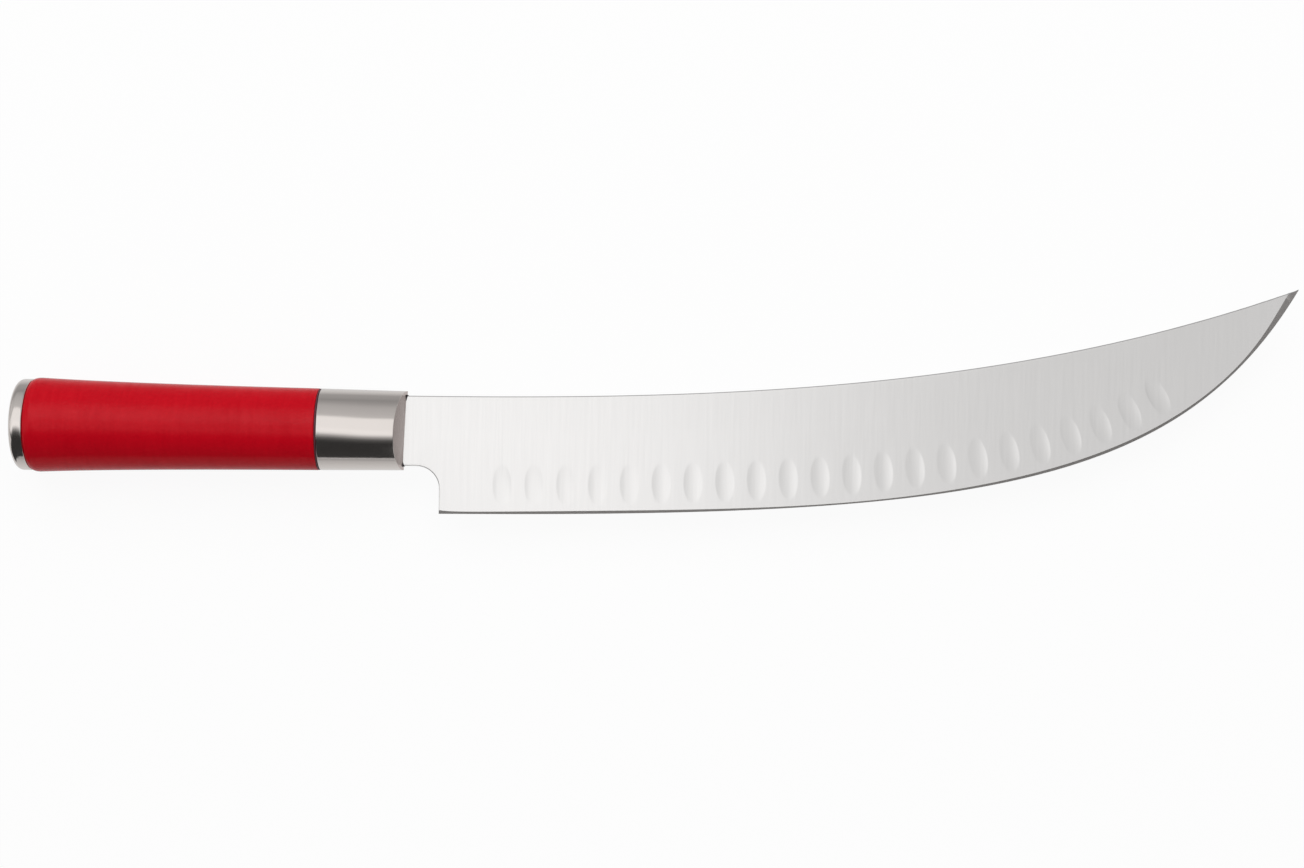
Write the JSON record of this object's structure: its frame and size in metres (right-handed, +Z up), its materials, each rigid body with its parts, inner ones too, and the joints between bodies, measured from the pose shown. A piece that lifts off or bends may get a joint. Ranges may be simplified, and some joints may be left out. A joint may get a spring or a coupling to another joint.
{
  "type": "butcher knife",
  "caption": "Butcher knife with a long upswept blade, ground hollows along its edge, a steel ferrule, a round red grip and a steel end cap, lying on its side.",
  "frame": {"origin": "centre of the knife's bounding box, at the height of the lowest point of the grip, on the surface that the knife lies on", "axes": "+X along the handle's axis from butt to tip, +Y from the cutting edge to the spine, +Z up, square to the flat of the blade"},
  "size_m": [0.4256, 0.0794, 0.0313],
  "materials": {
    "blade_steel": "finely ground across the blade, with a darker cutting bevel",
    "satin_steel": "satin, turned",
    "red_polymer": "moulded, fine satin grain",
    "dark_seal": "matt sealant",
    "core_polymer": "moulded, unfinished",
    "resin": "cast resin",
    "zinc_steel": "zinc plated"
  },
  "bodies": {
    "root": {"blade": "blade_steel", "ferrule": "satin_steel", "slot_seal": "dark_seal", "ferrule_core": "core_polymer", "seam_ring": "dark_seal", "grip": "red_polymer", "tang_potting": "resin", "tang_stud": "zinc_steel", "washer": "zinc_steel", "tang_nut": "zinc_steel", "end_cap": "satin_steel"}
  },
  "joints": []
}
